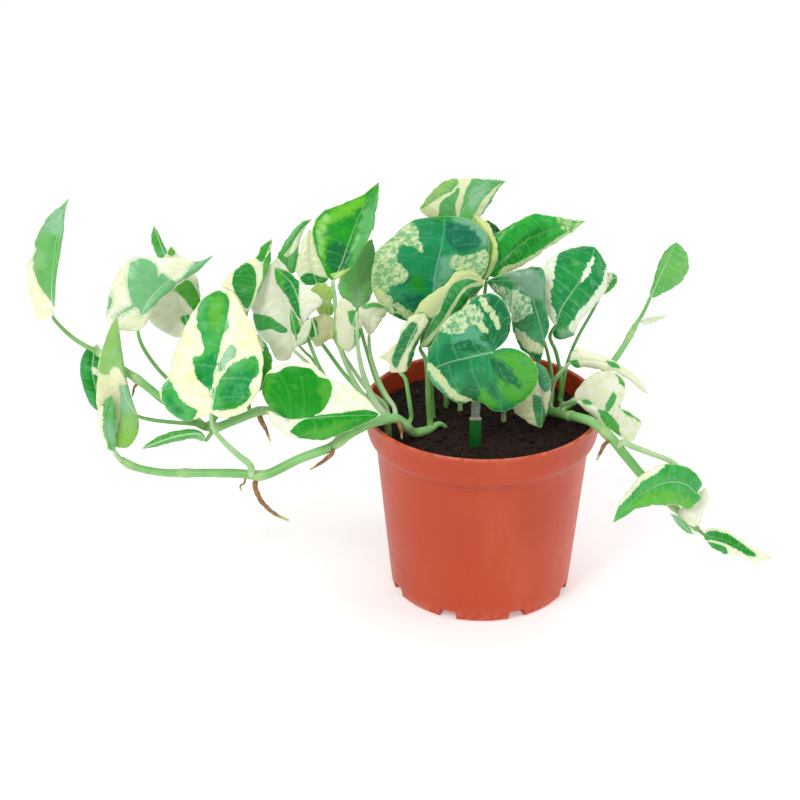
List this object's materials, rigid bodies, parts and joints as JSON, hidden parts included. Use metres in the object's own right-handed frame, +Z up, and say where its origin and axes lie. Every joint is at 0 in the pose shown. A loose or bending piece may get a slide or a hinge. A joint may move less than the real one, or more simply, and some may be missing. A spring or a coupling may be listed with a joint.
{
  "type": "potted trailing foliage plant",
  "caption": "Variegated trailing vine plant with heart-shaped leaves growing from peat soil in a tapered round plastic nursery pot with a banded rim.",
  "frame": {"origin": "centre of the pot's flat base, on the surface that the pot stands on", "axes": "+Z up along the pot's axis of rotation, +X along the plant's widest spread, with the drooping left vines towards -X, and -Y towards the front of the plant"},
  "size_m": [0.3645, 0.1363, 0.2067],
  "materials": {
    "terracotta_plastic": "satin",
    "peat_soil": "matte",
    "leaf_variegated": "satin",
    "leaf_cream": "satin",
    "stem_green": "satin",
    "aerial_root": "matte",
    "pick_green": "satin",
    "pick_clear": "gloss"
  },
  "bodies": {
    "root": {"leaf_crown_arch": "leaf_cream", "leaf_crown_arching": "leaf_variegated", "leaf_crown_back_lobe": "leaf_variegated", "leaf_crown_centre": "leaf_variegated", "leaf_crown_centre_back": "leaf_variegated", "leaf_crown_cream_back": "leaf_cream", "leaf_crown_dark_sliver": "leaf_variegated", "leaf_crown_low_hero": "leaf_variegated", "leaf_crown_pointed_low": "leaf_cream", "leaf_crown_right": "leaf_variegated", "leaf_crown_right_behind": "leaf_variegated", "leaf_crown_right_long": "leaf_variegated", "leaf_crown_speckled": "leaf_variegated", "leaf_crown_spoon": "leaf_cream", "leaf_crown_top": "leaf_variegated", "leaf_crown_twisted": "leaf_cream", "leaf_crown_underside": "leaf_variegated", "leaf_crown_upright": "leaf_variegated", "leaf_left_behind_front": "leaf_variegated", "leaf_left_cream_low": "leaf_cream", "leaf_left_dark_fold": "leaf_variegated", "leaf_left_drooping": "leaf_cream", "leaf_left_folded_tall": "leaf_variegated", "leaf_left_front": "leaf_cream", "leaf_left_hanging": "leaf_cream", "leaf_left_lower_front": "leaf_variegated", "leaf_left_narrow": "leaf_variegated", "leaf_left_pale": "leaf_cream", "leaf_left_pale_narrow": "leaf_cream", "leaf_left_rear": "leaf_cream", "leaf_left_round": "leaf_cream", "leaf_left_small": "leaf_variegated", "leaf_left_tip": "leaf_variegated", "leaf_left_under": "leaf_variegated", "leaf_left_vine_end": "leaf_variegated", "leaf_left_young": "leaf_variegated", "leaf_right_bract": "leaf_cream", "leaf_right_drooping": "leaf_cream", "leaf_right_low": "leaf_variegated", "leaf_right_low_behind": "leaf_cream", "leaf_right_round": "leaf_cream", "leaf_right_terminal": "leaf_variegated", "leaf_right_terminal_bract": "leaf_variegated", "leaf_right_upright": "leaf_variegated", "plant_pick": "pick_green", "plant_pick_tag": "pick_clear", "pot": "terracotta_plastic", "root_crown": "aerial_root", "root_left_branch": "aerial_root", "root_left_hook": "aerial_root", "root_left_mid": "aerial_root", "root_left_node": "aerial_root", "root_left_upper": "aerial_root", "root_right": "aerial_root", "soil": "peat_soil", "vine_left_branch": "stem_green", "vine_left_lower": "stem_green", "vine_left_upper": "stem_green", "vine_right": "stem_green", "vine_right_upper": "stem_green"}
  },
  "joints": []
}
